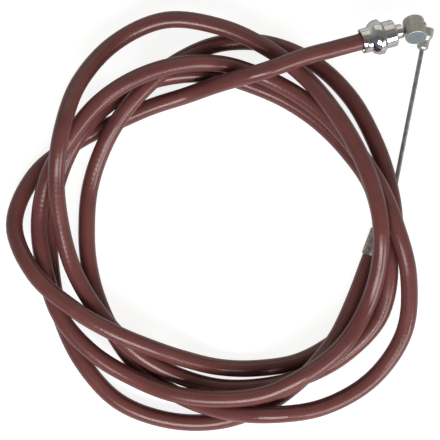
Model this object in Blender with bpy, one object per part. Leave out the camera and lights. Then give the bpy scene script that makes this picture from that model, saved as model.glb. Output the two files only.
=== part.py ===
"""Sheathed control cable, loosely coiled flat, with a cast nipple on each end of its inner wire.

Every length below is in millimetres; MM turns it into metres when a mesh is made.
"""
import math

import bmesh
import bpy
import numpy as np
from mathutils import Matrix, Vector

MM = 0.001
NAME = "sheathed_control_cable"

# Moves the coil so that the middle of the object's footprint is the origin.
SHIFT = Vector((-0.34, 0.37, 0.0))

# Casing layers: outer and inner radius of each, from the jacket in to the bare wire.
JACKET_R = (2.75, 2.05)
CONDUIT_R = (2.00, 1.35)
LINER_R = (1.30, 1.00)
WIRE_R = 0.75
CASING_SIDES = 8
WIRE_SIDES = 6

# The coil: distance from its centre and lift off the table, every STATION degrees.
# One row is one turn, counted counter-clockwise from the right.
COIL_CENTRE = (0.0, -1.5)
STATION = 15.0
FIRST_ANGLE = 75.0
RADII = (
    (50.5, 45.5, 43.5, 44.5, 47.5, 54, 62.5, 66.5, 61.5, 54, 48.5, 45.5, 45, 46.5, 48.5,
     51.5, 53.5, 55.5, 56.5),
    (56.5, 56.5, 57.5, 59.5, 61, 61, 59, 54.5, 50, 47, 45, 44, 43.5, 44.5, 46.5, 49.5,
     53.5, 57, 60, 63, 67.5, 70, 68.5, 62.5),
    (56, 52.5, 50, 49, 49, 50, 52, 53, 54, 55, 55.5, 57.5, 58.5, 58.5, 59.5, 58.5, 57,
     56.5, 56, 56, 55, 55, 54, 52.5),
    (51, 50, 50, 51.5, 55, 59, 64, 68.5, 68, 64, 58, 54, 51, 49.5, 48.5, 48.5, 49.5, 51,
     53, 54.5, 56.5, 58.5, 59.5, 56.5),
    (52, 50.5, 48, 46.5, 46, 46.5, 48.5, 50.5, 52.5, 53.5, 54, 54.5, 55.5, 57, 60, 63.5,
     66.5, 66, 64, 60, 55.5, 52.5, 50),
)
LIFTS = (
    (13.25, 7, 0.75, 0, 0, 0, 0.5, 5.75, 11, 11.75, 12, 9, 4.75, 0.5, 0, 0, 0, 0.25, 3),
    (5.5, 3, 0.25, 0, 0, 0, 0.5, 4.5, 7.25, 6, 3, 0.25, 0, 0, 0, 0, 0, 0.5, 6, 11.5,
     8.75, 6.25, 8.75, 11.5),
    (14.25, 10, 6, 5.25, 4.75, 4.5, 5.75, 10.5, 12.5, 12.25, 12, 8.75, 5.5, 5.75, 5.75,
     5.25, 5, 7.5, 10, 12.75, 15.25, 12.75, 10.5, 14),
    (17.5, 15.5, 13.5, 11.5, 6.25, 6, 5.5, 5.25, 4.75, 11.25, 18, 14.75, 11.25, 8, 7,
     5.75, 4.5, 2.25, 0, 1, 3.25, 4, 6.75, 9.75),
    (9.5, 4.25, 0.5, 0, 0, 0, 0, 0, 0.25, 3.25, 6.25, 3.5, 0.75, 0, 0, 0, 0, 0.25, 0.5,
     5, 9.5, 6.5, 3.5),
)

# Barrel end: the stepped ferrule's nose face, and the way the wire leaves it.
NOSE = Vector((58.8, 61.1, 9.8))
PULL_HEADING = 15.5
PULL_DIP = 7.0
FERRULE_LENGTH = 14.0
CASING_SEAT = 6.1
STRAIGHT_STATIONS = (6.1, 15.0, 24.0, 33.0)

# Stepped ferrule, as (distance from the mouth, outer radius).
FERRULE_PROFILE = (
    (0.0, 3.85), (0.25, 4.05), (2.8, 4.05), (3.1, 4.50), (3.6, 5.00), (4.3, 5.42), (5.1, 5.68),
    (5.5, 5.70), (6.5, 5.70), (7.4, 4.55), (7.6, 4.40), (11.0, 4.40), (11.4, 4.00),
    (11.4, 2.38), (13.8, 2.38), (14.0, 2.20),
)
FERRULE_MOUTH_R = 3.60
FERRULE_WIRE_HOLE_R = 1.05
FERRULE_SIDES = 40

# Barrel nipple: a short cast cylinder lying across the wire.
BARREL_R = 3.5
BARREL_LENGTH = 7.0
BARREL_GAP = 0.6
BARREL_AXIS = Vector((0.098, -0.847, 0.522)).normalized()
BARREL_OFFSET = 0.8
BARREL_SIDES = 40
BARREL_EDGE = 0.35
STROKE = 30.0
WIRE_A_INNER = 32.5

# Capped end: the mouth of the plain end cap and the way it points.
CAP_MOUTH = Vector((49.2, -11.7, 3.2))
CAP_HEADING = 69.5
CAP_LENGTH = 9.0
CAP_R = 3.20
CAP_BORE_R = 2.85
CAP_SEAT = 6.2
CAP_WIRE_HOLE_R = 1.00
CAP_SIDES = 32

# Exposed wire: it leaves the cap, bends a little and runs straight to the pear nipple.
BEND_POINT = Vector((56.7, 8.6, 3.0))
PEAR_NECK = Vector((65.9, 55.5, 2.75))
CORE_R = 0.46
STRAND_R = 0.135
STRAND_COUNT = 12
STRAND_LAY = 15.0
STRAND_STEPS = 40

# Pear nipple, as (distance from the neck's wire end, outer radius).
PEAR_PROFILE = (
    (0.0, 1.15), (0.35, 1.60), (0.9, 1.90), (3.3, 1.95), (3.9, 2.30), (4.5, 2.62), (4.9, 2.70),
    (7.2, 2.70), (7.5, 2.40),
)
PEAR_WIRE_HOLE_R = 0.80
PEAR_HOLE_DEPTH = 5.0
PEAR_SIDES = 32


def unit(heading, dip=0.0):
    """Unit vector from a compass-style heading (degrees from +X) and a downward dip."""
    h = math.radians(heading)
    d = math.radians(dip)
    return Vector((math.cos(d) * math.cos(h), math.cos(d) * math.sin(h), -math.sin(d)))


PULL = unit(PULL_HEADING, PULL_DIP)
CAP_WAY = unit(CAP_HEADING)
WIRE_WAY = (PEAR_NECK - BEND_POINT).normalized()


def casing_knots():
    """Centreline of the casing from its seat in the ferrule to its seat in the end cap."""
    knots = [NOSE - PULL * t for t in STRAIGHT_STATIONS]
    radii = [r for row in RADII for r in row]
    lifts = [h for row in LIFTS for h in row]
    for step, (radius, lift) in enumerate(zip(radii, lifts)):
        angle = math.radians(FIRST_ANGLE + step * STATION)
        x = COIL_CENTRE[0] + radius * math.cos(angle)
        y = COIL_CENTRE[1] + radius * math.sin(angle)
        knots.append(Vector((x, y, lift + JACKET_R[0])))
    knots.append(CAP_MOUTH - CAP_WAY * 2.0)
    knots.append(CAP_MOUTH + CAP_WAY * (CAP_SEAT - 0.1))
    return knots


def bezier_point(a, b, c, d, t):
    """Point on a cubic Bezier."""
    s = 1.0 - t
    return a * s ** 3 + b * 3 * s * s * t + c * 3 * s * t * t + d * t ** 3


def exposed_wire_point(t):
    """Point t (0 to 1) along the bare wire, from the cap's face into the pear nipple."""
    start = CAP_MOUTH + CAP_WAY * (CAP_LENGTH + 0.05)
    end = PEAR_NECK + WIRE_WAY * (PEAR_HOLE_DEPTH - 0.3)
    bend = bezier_point(start, start + CAP_WAY * 4.0, BEND_POINT - WIRE_WAY * 4.0, BEND_POINT, min(t / 0.2, 1.0))
    if t <= 0.2:
        return bend
    return BEND_POINT.lerp(end, (t - 0.2) / 0.8)


def frames(points):
    """Turning-free frames along a line of points: (point, side, up) for each."""
    count = len(points)
    tangents = []
    for i in range(count):
        ahead = points[min(i + 1, count - 1)]
        behind = points[max(i - 1, 0)]
        tangents.append((ahead - behind).normalized())
    side = tangents[0].cross(Vector((0, 0, 1))).normalized()
    result = []
    for point, tangent in zip(points, tangents):
        side = (side - tangent * side.dot(tangent)).normalized()
        result.append((point, side, side.cross(tangent)))
    return result


def ring(bm, frame, radius, sides):
    """Ring of vertices around one frame."""
    point, side, up = frame
    verts = []
    for k in range(sides):
        angle = 2 * math.pi * (k + 0.5) / sides
        spot = point + side * (radius * math.cos(angle)) + up * (radius * math.sin(angle))
        verts.append(bm.verts.new((spot + SHIFT) * MM))
    return verts


def bridge(bm, first, second):
    """Faces between two rings of the same size."""
    count = len(first)
    for k in range(count):
        n = (k + 1) % count
        bm.faces.new((first[k], first[n], second[n], second[k]))


def finish_mesh(name, bm, origin=None):
    """Close a bmesh into an object whose faces point outwards."""
    bmesh.ops.recalc_face_normals(bm, faces=bm.faces)
    mesh = bpy.data.meshes.new(name)
    if origin is not None:
        at = (origin + SHIFT) * MM
        bm.transform(Matrix.Translation(-at))
    bm.to_mesh(mesh)
    bm.free()
    obj = bpy.data.objects.new(name, mesh)
    if origin is not None:
        obj.location = at
    PARTS.objects.link(obj)
    return obj


def tube(name, points, outer, inner, sides, origin=None):
    """Tube along points; a solid rod when inner is None."""
    bm = bmesh.new()
    line = frames(points)
    skins = [[ring(bm, frame, outer, sides) for frame in line]]
    if inner is not None:
        skins.append([ring(bm, frame, inner, sides) for frame in line])
    for rings in skins:
        for first, second in zip(rings, rings[1:]):
            bridge(bm, first, second)
    for end in (0, -1):
        if inner is None:
            bm.faces.new(skins[0][end])
        else:
            bridge(bm, skins[0][end], skins[1][end])
    return finish_mesh(name, bm, origin)


def turned_rings(bm, base, way, outline, sides):
    """Rings of a solid of revolution, one for each (distance along way, radius)."""
    across = way.orthogonal().normalized()
    up = way.cross(across)
    rings = []
    for along, radius in outline:
        rings.append(ring(bm, (base + way * along, across, up), radius, sides))
    for first, second in zip(rings, rings[1:]):
        bridge(bm, first, second)
    return rings


def turned(name, base, way, outline, sides, origin):
    """Solid of revolution with a hole right through: the outline is a closed loop."""
    bm = bmesh.new()
    rings = turned_rings(bm, base, way, outline, sides)
    bridge(bm, rings[-1], rings[0])
    return finish_mesh(name, bm, origin)


def capped_turned(name, base, way, outline, sides, origin):
    """Solid of revolution closed by a flat disc at each end of its outline."""
    bm = bmesh.new()
    rings = turned_rings(bm, base, way, outline, sides)
    bm.faces.new(rings[0])
    bm.faces.new(rings[-1])
    return finish_mesh(name, bm, origin)


def material(obj, base_color, metallic, roughness):
    """Give an object a plain Principled material of its own."""
    mat = bpy.data.materials.new(obj.name + "_material")
    mat.use_nodes = True
    shader = mat.node_tree.nodes["Principled BSDF"]
    shader.inputs["Base Color"].default_value = (*base_color, 1.0)
    shader.inputs["Metallic"].default_value = metallic
    shader.inputs["Roughness"].default_value = roughness
    obj.data.materials.append(mat)


def make_casing():
    """Jacket, wound conduit, liner and the hidden run of the inner wire."""
    knots = casing_knots()
    material(tube("casing_jacket", knots, *JACKET_R, CASING_SIDES), (0.11, 0.045, 0.038), 0.0, 0.45)
    material(tube("casing_conduit", knots, *CONDUIT_R, CASING_SIDES), (0.45, 0.45, 0.46), 1.0, 0.4)
    material(tube("casing_liner", knots, *LINER_R, CASING_SIDES), (0.75, 0.75, 0.72), 0.0, 0.5)
    hidden = [NOSE - PULL * (WIRE_A_INNER + 0.5)] + knots[len(STRAIGHT_STATIONS):]
    hidden.append(CAP_MOUTH + CAP_WAY * (CAP_LENGTH - 0.05))
    material(tube("inner_wire_middle", hidden, WIRE_R, None, WIRE_SIDES), (0.4, 0.4, 0.41), 1.0, 0.4)


def make_ferrule():
    """Bright stepped ferrule, open at the mouth, with a small wire hole through its nose."""
    mouth = NOSE - PULL * FERRULE_LENGTH
    seat = FERRULE_LENGTH - CASING_SEAT + 0.1
    bore = (
        (FERRULE_LENGTH, FERRULE_WIRE_HOLE_R),
        (seat + 0.8, FERRULE_WIRE_HOLE_R),
        (seat, FERRULE_MOUTH_R),
        (0.0, FERRULE_MOUTH_R),
    )
    obj = turned("stepped_ferrule", mouth, PULL, FERRULE_PROFILE + bore, FERRULE_SIDES, mouth)
    material(obj, (0.8, 0.8, 0.82), 1.0, 0.08)


def barrel_centre():
    """Middle of the barrel nipple, a little off the wire's line."""
    return NOSE + PULL * (BARREL_GAP + BARREL_R) + BARREL_AXIS * BARREL_OFFSET


def make_barrel_end():
    """Barrel nipple, its wire tail and the straight run of wire that slides out with it."""
    half = BARREL_LENGTH / 2
    outline = (
        (-half, BARREL_R - BARREL_EDGE), (-half + BARREL_EDGE, BARREL_R),
        (half - BARREL_EDGE, BARREL_R), (half, BARREL_R - BARREL_EDGE),
    )
    centre = barrel_centre()
    barrel = capped_turned("barrel_nipple", centre, BARREL_AXIS, outline, BARREL_SIDES, centre)
    material(barrel, (0.42, 0.42, 0.40), 0.8, 0.5)
    cut_wire_hole(barrel)
    reach = BARREL_GAP + BARREL_R
    run = [NOSE - PULL * WIRE_A_INNER, NOSE - PULL * 16.0, NOSE + PULL * reach]
    wire = tube("inner_wire_barrel_end", run, WIRE_R, None, WIRE_SIDES, NOSE)
    material(wire, (0.4, 0.4, 0.41), 1.0, 0.4)
    tail = [NOSE + PULL * (reach + 0.1), NOSE + PULL * (reach + BARREL_R + 0.5)]
    material(tube("wire_tail", tail, WIRE_R, None, WIRE_SIDES, NOSE), (0.5, 0.5, 0.5), 0.9, 0.5)


def cut_wire_hole(barrel):
    """Bore the barrel right through for the wire."""
    start = NOSE - PULL * 2.0
    end = NOSE + PULL * (BARREL_GAP + 2 * BARREL_R + 2.0)
    cutter = tube("wire_hole_cutter", [start, end], WIRE_R + 0.08, None, 16)
    PARTS.objects.unlink(cutter)
    CUTTERS.objects.link(cutter)
    cutter.hide_render = True
    cutter.display_type = "WIRE"
    cut = barrel.modifiers.new("wire_hole", "BOOLEAN")
    cut.operation = "DIFFERENCE"
    cut.solver = "EXACT"
    cut.object = cutter


def make_end_cap():
    """Plain cap over the other end of the casing, with a wire hole in its closed face."""
    outline = (
        (0.0, CAP_R - 0.1), (0.1, CAP_R), (CAP_LENGTH - 0.5, CAP_R), (CAP_LENGTH, CAP_R - 0.5),
        (CAP_LENGTH, CAP_WIRE_HOLE_R), (CAP_SEAT, CAP_WIRE_HOLE_R),
        (CAP_SEAT, CAP_BORE_R), (0.0, CAP_BORE_R),
    )
    obj = turned("end_cap", CAP_MOUTH, CAP_WAY, outline, CAP_SIDES, CAP_MOUTH)
    material(obj, (0.35, 0.35, 0.36), 0.9, 0.5)


def strand_points(number):
    """Centreline of one outer strand, wound around the bare wire's own line."""
    samples = [exposed_wire_point(k / STRAND_STEPS) for k in range(STRAND_STEPS + 1)]
    radius = CORE_R + STRAND_R + 0.03
    travelled = 0.0
    points = []
    line = frames(samples)
    for k, (point, side, up) in enumerate(line):
        if k:
            travelled += (samples[k] - samples[k - 1]).length
        angle = 2 * math.pi * (travelled / STRAND_LAY + number / STRAND_COUNT)
        points.append(point + side * (radius * math.cos(angle)) + up * (radius * math.sin(angle)))
    return points


def make_exposed_wire():
    """Bare wire between cap and pear nipple: a core with a layer of outer strands."""
    core = [exposed_wire_point(k / STRAND_STEPS) for k in range(STRAND_STEPS + 1)]
    material(tube("exposed_wire_core", core, CORE_R, None, WIRE_SIDES), (0.4, 0.4, 0.41), 1.0, 0.4)
    for number in range(STRAND_COUNT):
        name = "exposed_wire_strand_%02d" % (number + 1)
        strand = tube(name, strand_points(number), STRAND_R, None, 4)
        material(strand, (0.42, 0.42, 0.43), 1.0, 0.38)


def make_pear_nipple():
    """Pear nipple: a drum head on a thinner neck, with a blind hole for the wire."""
    hole = ((PEAR_HOLE_DEPTH, PEAR_WIRE_HOLE_R), (0.0, PEAR_WIRE_HOLE_R))
    obj = capped_turned("pear_nipple", PEAR_NECK, WIRE_WAY, hole + PEAR_PROFILE, PEAR_SIDES, PEAR_NECK)
    material(obj, (0.42, 0.42, 0.40), 0.8, 0.5)


for old in list(bpy.data.objects):
    bpy.data.objects.remove(old, do_unlink=True)
PARTS = bpy.data.collections.new(NAME)
CUTTERS = bpy.data.collections.new("cutters")
bpy.context.scene.collection.children.link(PARTS)
bpy.context.scene.collection.children.link(CUTTERS)
make_casing()
make_ferrule()
make_barrel_end()
make_end_cap()
make_exposed_wire()
make_pear_nipple()
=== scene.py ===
"""Studio scene of the sheathed control cable: smooth casing, stranded wire, finished metal fittings.

Lengths are in millimetres unless a name says otherwise; MM turns them into metres.
"""
import math

import bpy
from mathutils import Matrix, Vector


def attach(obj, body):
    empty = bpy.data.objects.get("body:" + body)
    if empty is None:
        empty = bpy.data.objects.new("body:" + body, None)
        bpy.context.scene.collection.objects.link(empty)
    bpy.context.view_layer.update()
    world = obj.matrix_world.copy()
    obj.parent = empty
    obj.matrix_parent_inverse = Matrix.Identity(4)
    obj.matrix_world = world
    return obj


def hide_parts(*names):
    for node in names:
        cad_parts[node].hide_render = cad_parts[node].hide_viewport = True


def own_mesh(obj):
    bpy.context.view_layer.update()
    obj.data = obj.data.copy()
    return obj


MM = 0.001

# Same shift, route and fittings as in the CAD. RADII and LIFTS are rounded results of a separate
# route and height solve, one row a turn, one pair every STATION degrees.
SHIFT = Vector((-0.34, 0.37, 0.0))
CASING_R = 2.75
CONDUIT_R = (2.00, 1.35)
LINER_R = (1.30, 1.00)
WIRE_R = 0.75
COIL_CENTRE = (0.0, -1.5)
STATION = 15.0
FIRST_ANGLE = 75.0
RADII = (
    (50.5, 45.5, 43.5, 44.5, 47.5, 54, 62.5, 66.5, 61.5, 54, 48.5, 45.5, 45, 46.5, 48.5,
     51.5, 53.5, 55.5, 56.5),
    (56.5, 56.5, 57.5, 59.5, 61, 61, 59, 54.5, 50, 47, 45, 44, 43.5, 44.5, 46.5, 49.5,
     53.5, 57, 60, 63, 67.5, 70, 68.5, 62.5),
    (56, 52.5, 50, 49, 49, 50, 52, 53, 54, 55, 55.5, 57.5, 58.5, 58.5, 59.5, 58.5, 57,
     56.5, 56, 56, 55, 55, 54, 52.5),
    (51, 50, 50, 51.5, 55, 59, 64, 68.5, 68, 64, 58, 54, 51, 49.5, 48.5, 48.5, 49.5, 51,
     53, 54.5, 56.5, 58.5, 59.5, 56.5),
    (52, 50.5, 48, 46.5, 46, 46.5, 48.5, 50.5, 52.5, 53.5, 54, 54.5, 55.5, 57, 60, 63.5,
     66.5, 66, 64, 60, 55.5, 52.5, 50),
)
LIFTS = (
    (13.25, 7, 0.75, 0, 0, 0, 0.5, 5.75, 11, 11.75, 12, 9, 4.75, 0.5, 0, 0, 0, 0.25, 3),
    (5.5, 3, 0.25, 0, 0, 0, 0.5, 4.5, 7.25, 6, 3, 0.25, 0, 0, 0, 0, 0, 0.5, 6, 11.5,
     8.75, 6.25, 8.75, 11.5),
    (14.25, 10, 6, 5.25, 4.75, 4.5, 5.75, 10.5, 12.5, 12.25, 12, 8.75, 5.5, 5.75, 5.75,
     5.25, 5, 7.5, 10, 12.75, 15.25, 12.75, 10.5, 14),
    (17.5, 15.5, 13.5, 11.5, 6.25, 6, 5.5, 5.25, 4.75, 11.25, 18, 14.75, 11.25, 8, 7,
     5.75, 4.5, 2.25, 0, 1, 3.25, 4, 6.75, 9.75),
    (9.5, 4.25, 0.5, 0, 0, 0, 0, 0, 0.25, 3.25, 6.25, 3.5, 0.75, 0, 0, 0, 0, 0.25, 0.5,
     5, 9.5, 6.5, 3.5),
)
NOSE = Vector((58.8, 61.1, 9.8))
PULL_HEADING = 15.5
PULL_DIP = 7.0
FERRULE_LENGTH = 14.0
STRAIGHT_STATIONS = (6.1, 15.0, 24.0, 33.0)
BARREL_R = 3.5
BARREL_LENGTH = 7.0
BARREL_GAP = 0.6
BARREL_AXIS = Vector((0.098, -0.847, 0.522)).normalized()
BARREL_OFFSET = 0.8
BARREL_EDGE = 0.35
WIRE_A_INNER = 32.5
CAP_MOUTH = Vector((49.2, -11.7, 3.2))
CAP_HEADING = 69.5
CAP_LENGTH = 9.0
CAP_SEAT = 6.2
BEND_POINT = Vector((56.7, 8.6, 3.0))
BEND_SHARE = 0.2
BEND_HANDLE = 4.0
PEAR_NECK = Vector((65.9, 55.5, 2.75))
PEAR_HOLE_DEPTH = 5.0

# Fineness of the visible meshes.
ROUTE_STEPS = 8
CASING_SIDES = 28
LATHE_SIDES = 96
STRAND_R = 0.145
STRAND_COUNT = 12
STRAND_LAY = 15.0
STRAND_SIDES = 8

# Studio: camera height and floor in metres, and the floor's glow for the camera and as a bounce.
CAMERA_HEIGHT = 0.6
CAMERA_LENS = 149.7
FLOOR_HALF = 3.0
FLOOR_DROP = 0.0001
FLOOR_SEEN = 0.86
FLOOR_BOUNCE = 0.40

# Turned outlines, as (distance along the piece, radius).
FERRULE_OUTSIDE = (
    (0.35, 3.60), (0.10, 3.66), (0.0, 3.80), (0.08, 3.96), (0.25, 4.04), (2.75, 4.05), (2.90, 4.15),
    (3.10, 4.48), (3.35, 4.76), (3.65, 5.02), (4.00, 5.25), (4.40, 5.45), (4.80, 5.60),
    (5.15, 5.68), (5.5, 5.70), (6.40, 5.70), (6.52, 5.66), (7.40, 4.56), (7.55, 4.43),
    (7.70, 4.40), (10.85, 4.40), (11.02, 4.36), (11.34, 4.08), (11.40, 3.98), (11.40, 2.50),
    (11.46, 2.40), (11.60, 2.38), (13.70, 2.38), (13.92, 2.30), (14.0, 2.15),
)
FERRULE_INSIDE = ((14.0, 1.15), (13.9, 1.05), (8.8, 1.05), (8.0, 3.50), (7.8, 3.60))
CAP_OUTSIDE = (
    (0.25, 2.88), (0.05, 2.92), (0.0, 3.02), (0.06, 3.14), (0.20, 3.20), (8.35, 3.20), (8.65, 3.14),
    (8.88, 2.98), (9.0, 2.72),
)
CAP_INSIDE = ((9.0, 1.10), (8.9, 1.00), (6.2, 1.00), (6.2, 2.85), (6.0, 2.88))
PEAR_OUTSIDE = (
    (0.6, 0.80), (0.12, 0.84), (0.0, 0.98), (0.04, 1.20), (0.18, 1.45), (0.42, 1.68), (0.75, 1.84),
    (1.15, 1.92), (2.6, 1.93), (3.25, 1.97), (3.70, 2.14), (4.15, 2.42), (4.50, 2.60),
    (4.85, 2.68), (5.2, 2.70), (7.05, 2.70), (7.30, 2.64), (7.45, 2.52), (7.5, 2.35),
)


def unit(heading, dip=0.0):
    """Unit vector from a heading (degrees from +X) and a downward dip."""
    h = math.radians(heading)
    d = math.radians(dip)
    return Vector((math.cos(d) * math.cos(h), math.cos(d) * math.sin(h), -math.sin(d)))


PULL = unit(PULL_HEADING, PULL_DIP)
CAP_WAY = unit(CAP_HEADING)
WIRE_WAY = (PEAR_NECK - BEND_POINT).normalized()
MOUTH = NOSE - PULL * FERRULE_LENGTH
BARREL_CENTRE = NOSE + PULL * (BARREL_GAP + BARREL_R) + BARREL_AXIS * BARREL_OFFSET


# ---------------------------------------------------------------- routes

def casing_knots():
    """Centreline knots of the casing, from the ferrule's seat to the end cap's seat."""
    knots = [NOSE - PULL * t for t in STRAIGHT_STATIONS]
    radii = [r for row in RADII for r in row]
    lifts = [h for row in LIFTS for h in row]
    for step, (radius, lift) in enumerate(zip(radii, lifts)):
        angle = math.radians(FIRST_ANGLE + step * STATION)
        x = COIL_CENTRE[0] + radius * math.cos(angle)
        y = COIL_CENTRE[1] + radius * math.sin(angle)
        knots.append(Vector((x, y, lift + CASING_R)))
    knots.append(CAP_MOUTH - CAP_WAY * 2.0)
    knots.append(CAP_MOUTH + CAP_WAY * (CAP_SEAT - 0.1))
    return knots


def smooth_route(knots, steps):
    """Catmull-Rom curve through the knots, never lower than a casing on the floor."""
    ends = [knots[0] * 2 - knots[1]] + knots + [knots[-1] * 2 - knots[-2]]
    line = []
    for i in range(1, len(ends) - 2):
        a, b, c, d = ends[i - 1:i + 3]
        for k in range(steps):
            t = k / steps
            point = (b * 2 + (c - a) * t + (a * 2 - b * 5 + c * 4 - d) * t ** 2
                     + (b * 3 - a - c * 3 + d) * t ** 3) * 0.5
            point.z = max(point.z, CASING_R)
            line.append(point)
    return line + [knots[-1]]


def bezier_point(a, b, c, d, t):
    """Point on a cubic Bezier."""
    s = 1.0 - t
    return a * s ** 3 + b * 3 * s * s * t + c * 3 * s * t * t + d * t ** 3


def exposed_wire_route(steps):
    """Bare wire from the cap's face, through its gentle bend, into the pear nipple."""
    start = CAP_MOUTH + CAP_WAY * (CAP_LENGTH + 0.05)
    end = PEAR_NECK + WIRE_WAY * (PEAR_HOLE_DEPTH - 0.3)
    line = []
    for k in range(steps + 1):
        t = k / steps
        if t <= BEND_SHARE:
            line.append(bezier_point(start, start + CAP_WAY * BEND_HANDLE,
                                     BEND_POINT - WIRE_WAY * BEND_HANDLE, BEND_POINT, t / BEND_SHARE))
        else:
            line.append(BEND_POINT.lerp(end, (t - BEND_SHARE) / (1 - BEND_SHARE)))
    return line


def straight_route(start, end, steps):
    """Evenly spaced points from start to end."""
    return [start.lerp(end, k / steps) for k in range(steps + 1)]


def frames(points):
    """Turning-free frames along a line: (point, side, up, distance from the start)."""
    last = len(points) - 1
    tangents = []
    for i in range(last + 1):
        tangents.append((points[min(i + 1, last)] - points[max(i - 1, 0)]).normalized())
    side = tangents[0].cross(Vector((0, 0, 1))).normalized()
    travelled = 0.0
    result = []
    for i, tangent in enumerate(tangents):
        side = (side - tangent * side.dot(tangent)).normalized()
        if i:
            travelled += (points[i] - points[i - 1]).length
        result.append((points[i], side, side.cross(tangent), travelled))
    return result


# ---------------------------------------------------------------- meshes

class Shape:
    """Vertices, faces and lengthwise coordinates of one piece while it is being made."""

    def __init__(self):
        self.verts = []
        self.faces = []
        self.along = []

    def ring(self, point, side, up, radius, sides, along):
        """Add a ring of vertices and return their numbers."""
        first = len(self.verts)
        for k in range(sides):
            angle = 2 * math.pi * k / sides
            c = radius * math.cos(angle)
            s = radius * math.sin(angle)
            self.verts.append((point + side * c + up * s + SHIFT) * MM)
            self.along.append((along * MM, c * MM, s * MM))
        return list(range(first, first + sides))

    def bridge(self, first, second):
        """Join two rings with quads."""
        count = len(first)
        for k in range(count):
            n = (k + 1) % count
            self.faces.append((first[k], second[k], second[n], first[n]))

    def cap(self, ring, flip):
        """Close a ring with one flat face."""
        self.faces.append(tuple(reversed(ring)) if flip else tuple(ring))

    def piece(self, name, body, mats, sharp_angle=40.0):
        """Make the object, shade it smooth except at its edges, and ride it on a body."""
        mesh = bpy.data.meshes.new(name)
        mesh.from_pydata(self.verts, [], self.faces)
        route = mesh.attributes.new("route", "FLOAT_VECTOR", "POINT")
        route.data.foreach_set("vector", [v for row in self.along for v in row])
        for mat in mats:
            mesh.materials.append(mat)
        mesh.shade_smooth()
        mesh.set_sharp_from_angle(angle=math.radians(sharp_angle))
        obj = bpy.data.objects.new(name, mesh)
        bpy.context.scene.collection.objects.link(obj)
        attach(obj, body)
        return obj


def add_tube(shape, line, outer, inner, sides):
    """Tube, or a rod when inner is None, added to a shape."""
    skins = []
    for radius in (outer, inner):
        if radius is None:
            continue
        skins.append([shape.ring(p, s, u, radius, sides, d) for p, s, u, d in line])
    for first, second in zip(skins[0], skins[0][1:]):
        shape.bridge(first, second)
    if inner is None:
        shape.cap(skins[0][0], False)
        shape.cap(skins[0][-1], True)
        return
    for first, second in zip(skins[1], skins[1][1:]):
        shape.bridge(second, first)
    shape.bridge(skins[1][0], skins[0][0])
    shape.bridge(skins[0][-1], skins[1][-1])


def tube_piece(name, body, line, outer, inner, sides, mat):
    """One tube as a piece of its own."""
    shape = Shape()
    add_tube(shape, line, outer, inner, sides)
    return shape.piece(name, body, [mat])


def stranded_piece(name, body, points, mat):
    """Twelve round strands laid around a core, all in one piece."""
    shape = Shape()
    line = frames(points)
    lay_r = WIRE_R - STRAND_R
    add_tube(shape, line, lay_r - STRAND_R * 0.6, None, 12)
    for number in range(STRAND_COUNT):
        centres = []
        for point, side, up, travelled in line:
            angle = 2 * math.pi * (travelled / STRAND_LAY + number / STRAND_COUNT)
            centres.append(point + side * (lay_r * math.cos(angle)) + up * (lay_r * math.sin(angle)))
        add_tube(shape, frames(centres), STRAND_R, None, STRAND_SIDES)
    return shape.piece(name, body, [mat])


def add_lathe(shape, base, way, outline, closed):
    """Rings of a turned piece; closed joins the last ring to the first."""
    across = way.orthogonal().normalized()
    up = across.cross(way)
    rings = []
    for along, radius in outline:
        rings.append(shape.ring(base + way * along, across, up, radius, LATHE_SIDES, along))
    for first, second in zip(rings, rings[1:]):
        shape.bridge(first, second)
    if closed:
        shape.bridge(rings[-1], rings[0])
    return rings


# ---------------------------------------------------------------- materials

def start_material(name, color, metallic, roughness):
    """A Principled material and the tools to add nodes to it."""
    mat = bpy.data.materials.new(name)
    mat.use_nodes = True
    tree = mat.node_tree
    shader = tree.nodes["Principled BSDF"]
    shader.inputs["Base Color"].default_value = (*color, 1.0)
    shader.inputs["Metallic"].default_value = metallic
    shader.inputs["Roughness"].default_value = roughness
    return mat, tree, shader


def coordinates(tree, stretch=None):
    """Object coordinates, or the lengthwise ones of a tube squeezed along it by stretch."""
    if stretch is None:
        return tree.nodes.new("ShaderNodeTexCoord").outputs["Object"]
    source = tree.nodes.new("ShaderNodeAttribute")
    source.attribute_name = "route"
    scale = tree.nodes.new("ShaderNodeVectorMath")
    scale.operation = "MULTIPLY"
    scale.inputs[1].default_value = (stretch, 1.0, 1.0)
    tree.links.new(source.outputs["Vector"], scale.inputs[0])
    return scale.outputs["Vector"]


def noise(tree, vector, per_metre, detail=4.0, roughness=0.55):
    """Noise with features of about 1/per_metre metres."""
    node = tree.nodes.new("ShaderNodeTexNoise")
    node.inputs["Scale"].default_value = per_metre
    node.inputs["Detail"].default_value = detail
    node.inputs["Roughness"].default_value = roughness
    tree.links.new(vector, node.inputs["Vector"])
    return node.outputs["Fac"]


def ramp(tree, value, low, high, dark, light):
    """Two-colour ramp between two noise levels."""
    node = tree.nodes.new("ShaderNodeValToRGB")
    node.color_ramp.elements[0].position = low
    node.color_ramp.elements[1].position = high
    node.color_ramp.elements[0].color = (*dark, 1.0)
    node.color_ramp.elements[1].color = (*light, 1.0)
    tree.links.new(value, node.inputs["Fac"])
    return node.outputs["Color"]


def levels(tree, value, out_low, out_high, low=0.3, high=0.7):
    """Map a noise value to a range of numbers."""
    node = tree.nodes.new("ShaderNodeMapRange")
    node.inputs["From Min"].default_value = low
    node.inputs["From Max"].default_value = high
    node.inputs["To Min"].default_value = out_low
    node.inputs["To Max"].default_value = out_high
    tree.links.new(value, node.inputs["Value"])
    return node.outputs["Result"]


def multiply_colors(tree, first, second, amount):
    """Multiply one colour by another."""
    node = tree.nodes.new("ShaderNodeMix")
    node.data_type = "RGBA"
    node.blend_type = "MULTIPLY"
    node.inputs["Factor"].default_value = amount
    tree.links.new(first, node.inputs["A"])
    tree.links.new(second, node.inputs["B"])
    return node.outputs["Result"]


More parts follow.
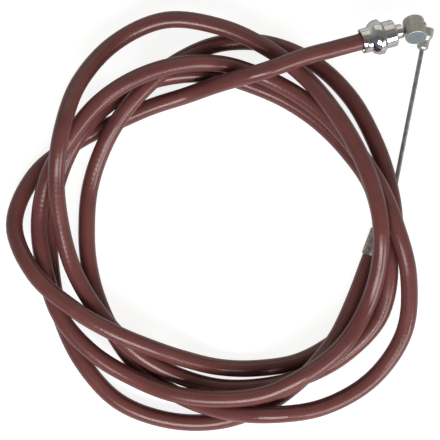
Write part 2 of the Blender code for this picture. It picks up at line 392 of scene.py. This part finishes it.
def bump(tree, shader, heights):
    """Chain of bumps, each (value, strength, depth in millimetres)."""
    normal = None
    for value, strength, depth in heights:
        node = tree.nodes.new("ShaderNodeBump")
        node.inputs["Strength"].default_value = strength
        node.inputs["Distance"].default_value = depth * MM
        tree.links.new(value, node.inputs["Height"])
        if normal is not None:
            tree.links.new(normal, node.inputs["Normal"])
        normal = node.outputs["Normal"]
    tree.links.new(normal, shader.inputs["Normal"])


def ribs(tree, pitch):
    """Rings round a tube, one every pitch millimetres, from 0 to 1."""
    source = tree.nodes.new("ShaderNodeAttribute")
    source.attribute_name = "route"
    split = tree.nodes.new("ShaderNodeSeparateXYZ")
    tree.links.new(source.outputs["Vector"], split.inputs["Vector"])
    turns = tree.nodes.new("ShaderNodeMath")
    turns.operation = "MULTIPLY"
    turns.inputs[1].default_value = 2 * math.pi / (pitch * MM)
    tree.links.new(split.outputs["X"], turns.inputs[0])
    wave = tree.nodes.new("ShaderNodeMath")
    wave.operation = "SINE"
    tree.links.new(turns.outputs["Value"], wave.inputs[0])
    return levels(tree, wave.outputs["Value"], 0.0, 1.0, -1.0, 1.0)


def product(tree, first, second):
    """Two numbers multiplied."""
    node = tree.nodes.new("ShaderNodeMath")
    node.operation = "MULTIPLY"
    tree.links.new(first, node.inputs[0])
    tree.links.new(second, node.inputs[1])
    return node.outputs["Value"]


def sheath_material():
    """Satin red-brown plastic: draw lines, mottling, dulled patches and faint ribs from the winding."""
    mat, tree, shader = start_material("sheath_plastic", (0.14, 0.046, 0.041), 0.0, 0.3)
    place = coordinates(tree)
    lengthwise = coordinates(tree, 0.03)
    mottle = ramp(tree, noise(tree, place, 70.0), 0.3, 0.7, (0.116, 0.036, 0.034), (0.158, 0.052, 0.048))
    draw = noise(tree, lengthwise, 2200.0, 3.0)
    streaks = ramp(tree, draw, 0.25, 0.75, (0.84, 0.84, 0.84), (1.0, 1.0, 1.0))
    tree.links.new(multiply_colors(tree, mottle, streaks, 0.5), shader.inputs["Base Color"])
    dull = noise(tree, place, 260.0, 5.0)
    tree.links.new(levels(tree, dull, 0.17, 0.29), shader.inputs["Roughness"])
    grain = noise(tree, place, 3200.0, 2.0)
    patches = levels(tree, noise(tree, place, 45.0, 2.0), 0.0, 1.0, 0.45, 0.65)
    winding = product(tree, ribs(tree, 1.7), patches)
    bump(tree, shader, ((draw, 0.25, 0.03), (grain, 0.20, 0.03), (winding, 0.35, 0.04)))
    shader.inputs["Specular IOR Level"].default_value = 0.42
    return mat


def chrome_material():
    """Bright plating with a slight ripple, fine turning lines and a few dull specks."""
    mat, tree, shader = start_material("bright_plating", (0.56, 0.56, 0.56), 1.0, 0.08)
    place = coordinates(tree)
    turned = coordinates(tree, 60.0)
    stain = ramp(tree, noise(tree, place, 420.0), 0.35, 0.62, (0.58, 0.57, 0.54), (0.74, 0.74, 0.75))
    tree.links.new(stain, shader.inputs["Base Color"])
    specks = noise(tree, place, 1500.0, 5.0)
    tree.links.new(levels(tree, specks, 0.06, 0.26, 0.42, 0.75), shader.inputs["Roughness"])
    ripple = noise(tree, place, 330.0, 2.0)
    lines = noise(tree, turned, 60.0, 2.0)
    shader.inputs["Specular Tint"].default_value = (0.6, 0.6, 0.6, 1.0)
    bump(tree, shader, ((ripple, 0.35, 0.10), (lines, 0.08, 0.02)))
    return mat


def cast_material(name, dark, light, roughness, grain_strength):
    """Dull cast zinc alloy: mottled, finely pitted."""
    mat, tree, shader = start_material(name, light, 0.85, roughness)
    place = coordinates(tree)
    mottle = ramp(tree, noise(tree, place, 650.0, 6.0, 0.65), 0.32, 0.68, dark, light)
    tree.links.new(mottle, shader.inputs["Base Color"])
    patches = noise(tree, place, 900.0, 4.0)
    tree.links.new(levels(tree, patches, roughness - 0.08, roughness + 0.10), shader.inputs["Roughness"])
    grain = noise(tree, place, 2600.0, 4.0)
    swell = noise(tree, place, 380.0, 2.0)
    bump(tree, shader, ((swell, 0.35, 0.18), (grain, grain_strength, 0.06)))
    return mat


def galvanised_material():
    """Zinc plating with small spangles and dark flecks."""
    mat, tree, shader = start_material("mottled_zinc", (0.4, 0.39, 0.36), 0.8, 0.4)
    place = coordinates(tree)
    spangle = tree.nodes.new("ShaderNodeTexVoronoi")
    spangle.inputs["Scale"].default_value = 1300.0
    tree.links.new(place, spangle.inputs["Vector"])
    flecks = ramp(tree, spangle.outputs["Distance"], 0.1, 0.75, (0.56, 0.54, 0.49), (0.24, 0.23, 0.22))
    stain = ramp(tree, noise(tree, place, 800.0, 5.0), 0.35, 0.65, (0.55, 0.54, 0.53), (1.0, 1.0, 1.0))
    tree.links.new(multiply_colors(tree, flecks, stain, 0.9), shader.inputs["Base Color"])
    tree.links.new(levels(tree, noise(tree, place, 1100.0), 0.32, 0.52), shader.inputs["Roughness"])
    bump(tree, shader, ((spangle.outputs["Distance"], 0.3, 0.05), (noise(tree, place, 3000.0), 0.2, 0.03)))
    return mat


def wire_material():
    """Galvanised steel wire, a little uneven in tone along its length."""
    mat, tree, shader = start_material("zinc_coated_wire", (0.44, 0.44, 0.42), 0.9, 0.36)
    place = coordinates(tree)
    tone = ramp(tree, noise(tree, place, 500.0, 5.0), 0.3, 0.7, (0.34, 0.34, 0.33), (0.52, 0.52, 0.50))
    tree.links.new(tone, shader.inputs["Base Color"])
    tree.links.new(levels(tree, noise(tree, place, 1400.0), 0.28, 0.46), shader.inputs["Roughness"])
    bump(tree, shader, ((noise(tree, place, 4000.0), 0.25, 0.02),))
    return mat


def liner_material():
    """Translucent-looking natural plastic of the liner."""
    mat, tree, shader = start_material("liner_plastic", (0.75, 0.74, 0.70), 0.0, 0.5)
    tone = ramp(tree, noise(tree, coordinates(tree), 300.0), 0.3, 0.7, (0.66, 0.65, 0.61), (0.78, 0.77, 0.74))
    tree.links.new(tone, shader.inputs["Base Color"])
    return mat


# ---------------------------------------------------------------- pieces

def make_casing():
    """The sheath along its smoothed route, with its conduit, liner and hidden wire inside."""
    route = smooth_route(casing_knots(), ROUTE_STEPS)
    line = frames(route)
    sheath = tube_piece("casing_sheath", "casing", line, CASING_R, CONDUIT_R[0] + 0.05, CASING_SIDES,
                        sheath_material())
    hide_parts("casing_jacket")
    steel = wire_material()
    winding = tube_piece("casing_winding", "casing", line, *CONDUIT_R, 16, steel)
    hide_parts("casing_conduit")
    lining = tube_piece("casing_lining", "casing", line, *LINER_R, 12, liner_material())
    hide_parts("casing_liner")
    skipped = ROUTE_STEPS * (len(STRAIGHT_STATIONS) - 1)
    hidden = route[skipped:] + [CAP_MOUTH + CAP_WAY * (CAP_LENGTH - 0.05)]
    core = tube_piece("inner_wire_hidden_run", "casing", frames(hidden), WIRE_R, None, 12, steel)
    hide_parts("inner_wire_middle")
    return sheath, route


def make_ferrule():
    """Bright stepped ferrule, free to turn on the casing."""
    shape = Shape()
    add_lathe(shape, MOUTH, PULL, FERRULE_OUTSIDE + FERRULE_INSIDE, True)
    obj = shape.piece("bright_ferrule", "ferrule", [chrome_material()], 28.0)
    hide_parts("stepped_ferrule")


def make_barrel(side_mat, face_mat):
    """Cast barrel nipple with rounded edges and flat ends; the ends take a darker, bluer copy of the cast
    zinc, its blue tint a painted reflection.
    """
    half = BARREL_LENGTH / 2
    rounded = []
    for k in range(7):
        turn = math.radians(15.0 * k)
        along = -half + BARREL_EDGE * (1 - math.sin(turn))
        rounded.append((along, BARREL_R - BARREL_EDGE * (1 - math.cos(turn))))
    outline = [(-half, BARREL_R - BARREL_EDGE * 1.25)] + sorted(rounded)
    outline += [(-along, radius) for along, radius in reversed(outline)]
    shape = Shape()
    rings = add_lathe(shape, BARREL_CENTRE, BARREL_AXIS, outline, False)
    shape.cap(rings[0], False)
    shape.cap(rings[-1], True)
    obj = shape.piece("cast_barrel", "barrel_end", [side_mat, face_mat], 50.0)
    flat_ends = obj.data.polygons[len(shape.faces) - 2:]
    for face in flat_ends:
        face.material_index = 1
    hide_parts("barrel_nipple")


def make_barrel_wire():
    """Straight run of stranded wire that slides out of the ferrule with the barrel."""
    start = NOSE - PULL * WIRE_A_INNER
    end = NOSE + PULL * (BARREL_GAP + BARREL_R)
    obj = stranded_piece("barrel_wire", "barrel_end", straight_route(start, end, 60), wire_material())
    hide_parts("inner_wire_barrel_end")


def make_tail(mat):
    """Rounded, upset end of the wire on the far side of the barrel."""
    reach = BARREL_GAP + BARREL_R
    top = reach + BARREL_R + 0.5
    outline = ((reach + 0.1, 0.72), (top - 0.75, 0.75), (top - 0.45, 0.92), (top - 0.25, 0.90),
               (top - 0.08, 0.72), (top, 0.45))
    shape = Shape()
    rings = add_lathe(shape, NOSE, PULL, outline, False)
    shape.cap(rings[0], False)
    shape.cap(rings[-1], True)
    obj = shape.piece("upset_wire_end", "barrel_end", [mat], 60.0)
    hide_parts("wire_tail")


def make_cap():
    """Plain zinc end cap on the casing's other end."""
    shape = Shape()
    add_lathe(shape, CAP_MOUTH, CAP_WAY, CAP_OUTSIDE + CAP_INSIDE, True)
    obj = shape.piece("zinc_cap", "casing", [galvanised_material()], 35.0)
    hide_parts("end_cap")
    return obj


def make_pear(mat):
    """Cast pear nipple on the free end of the exposed wire."""
    outline = ((PEAR_HOLE_DEPTH, 0.80),) + PEAR_OUTSIDE
    shape = Shape()
    rings = add_lathe(shape, PEAR_NECK, WIRE_WAY, outline, False)
    shape.cap(rings[0], False)
    shape.cap(rings[-1], True)
    obj = shape.piece("cast_pear", "pear_end", [mat], 50.0)
    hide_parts("pear_nipple")
    return obj


def make_exposed_wire():
    """Bare wire between cap and pear nipple; it shortens as the nipple is drawn in."""
    points = exposed_wire_route(120)
    obj = stranded_piece("exposed_wire", "pear_end", points, wire_material())
    strands = ["exposed_wire_strand_%02d" % (n + 1) for n in range(STRAND_COUNT)]
    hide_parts("exposed_wire_core", *strands)
    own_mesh(obj)


# ---------------------------------------------------------------- studio

def make_camera():
    """Camera straight above the coil, the coil's +Y at the top of the picture."""
    data = bpy.data.cameras.new("camera")
    data.lens = CAMERA_LENS
    data.sensor_width = 36.0
    data.clip_end = 10.0
    cam = bpy.data.objects.new("camera", data)
    cam.location = (SHIFT.x * MM, SHIFT.y * MM, CAMERA_HEIGHT)
    bpy.context.scene.collection.objects.link(cam)
    bpy.context.scene.camera = cam


def area_light(name, place, width, height, watts, color=(1.0, 1.0, 1.0)):
    """Soft box aimed at the middle of the coil."""
    data = bpy.data.lights.new(name, "AREA")
    data.shape = "RECTANGLE"
    data.size = width
    data.size_y = height
    data.energy = watts
    data.color = color
    light = bpy.data.objects.new(name, data)
    light.location = place
    light.rotation_euler = (-Vector(place)).to_track_quat("-Z", "Y").to_euler()
    bpy.context.scene.collection.objects.link(light)


def make_floor():
    """Plain white floor: bright to the camera, so the coil's shadow stays faint, and dimmer as a bounce."""
    mat, tree, shader = start_material("floor_white", (0.3, 0.3, 0.3), 0.0, 0.9)
    shader.inputs["Emission Color"].default_value = (1.0, 1.0, 1.0, 1.0)
    seen = tree.nodes.new("ShaderNodeLightPath").outputs["Is Camera Ray"]
    tree.links.new(levels(tree, seen, FLOOR_BOUNCE, FLOOR_SEEN, 0.0, 1.0), shader.inputs["Emission Strength"])
    mesh = bpy.data.meshes.new("floor")
    half = FLOOR_HALF
    corners = ((-half, -half, 0), (half, -half, 0), (half, half, 0), (-half, half, 0))
    mesh.from_pydata(corners, [], [(0, 1, 2, 3)])
    mesh.materials.append(mat)
    floor = bpy.data.objects.new("floor", mesh)
    floor.location.z = -FLOOR_DROP
    bpy.context.scene.collection.objects.link(floor)


def make_world():
    """Surroundings: bright and cool at the horizon, dimmer overhead, warmer behind the coil."""
    world = bpy.data.worlds.new("studio")
    bpy.context.scene.world = world
    world.use_nodes = True
    tree = world.node_tree
    back = tree.nodes["Background"]
    direction = tree.nodes.new("ShaderNodeTexCoord").outputs["Generated"]
    split = tree.nodes.new("ShaderNodeSeparateXYZ")
    tree.links.new(direction, split.inputs["Vector"])
    height = ramp(tree, split.outputs["Z"], 0.15, 0.85, (0.78, 0.83, 1.0), (0.50, 0.50, 0.50))
    side = levels(tree, split.outputs["Y"], 0.0, 1.0, -1.0, 1.0)
    tint = ramp(tree, side, 0.35, 0.60, (0.45, 0.47, 0.55), (1.0, 0.95, 0.80))
    tree.links.new(multiply_colors(tree, height, tint, 1.0), back.inputs["Color"])
    back.inputs["Strength"].default_value = 0.5


def make_lights():
    """Strip in front of the coil for the highlights, soft box at its lower right, weak card behind."""
    area_light("front_strip", (-0.02, -0.45, 0.48), 0.44, 0.30, 4.2, (1.0, 0.97, 0.93))
    area_light("right_box", (0.55, -0.55, 0.36), 0.5, 0.4, 3.4, (1.0, 0.97, 0.95))
    area_light("back_card", (0.0, 0.80, 0.40), 1.2, 0.6, 1.2, (1.0, 0.95, 0.84))


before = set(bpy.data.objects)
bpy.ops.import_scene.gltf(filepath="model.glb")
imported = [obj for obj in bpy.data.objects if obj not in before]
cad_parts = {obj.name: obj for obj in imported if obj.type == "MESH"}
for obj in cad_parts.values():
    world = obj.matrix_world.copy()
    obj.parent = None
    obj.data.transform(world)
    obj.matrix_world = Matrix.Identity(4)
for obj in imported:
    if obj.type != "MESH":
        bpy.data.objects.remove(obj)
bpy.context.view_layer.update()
make_camera()
sheath_piece, sheath_route = make_casing()
cast_side = cast_material("cast_zinc_side", (0.30, 0.30, 0.265), (0.48, 0.48, 0.43), 0.48, 0.45)
# Barrel ends: the same cast zinc, darker and bluer; the blue tint is painted reflection of cool surroundings.
cast_end_painted_reflection = cast_material("cast_zinc_end_painted_reflection", (0.20, 0.245, 0.26), (0.27, 0.32, 0.34), 0.55, 0.25)
cast_bright = cast_material("cast_zinc_pear", (0.42, 0.42, 0.39), (0.58, 0.58, 0.54), 0.34, 0.25)
pear_piece = make_pear(cast_bright)
make_exposed_wire()
cap_piece = make_cap()
make_ferrule()
make_barrel(cast_side, cast_end_painted_reflection)
make_barrel_wire()
make_tail(cast_side)
make_floor()
make_world()
make_lights()
bpy.context.scene.view_settings.view_transform = "Standard"
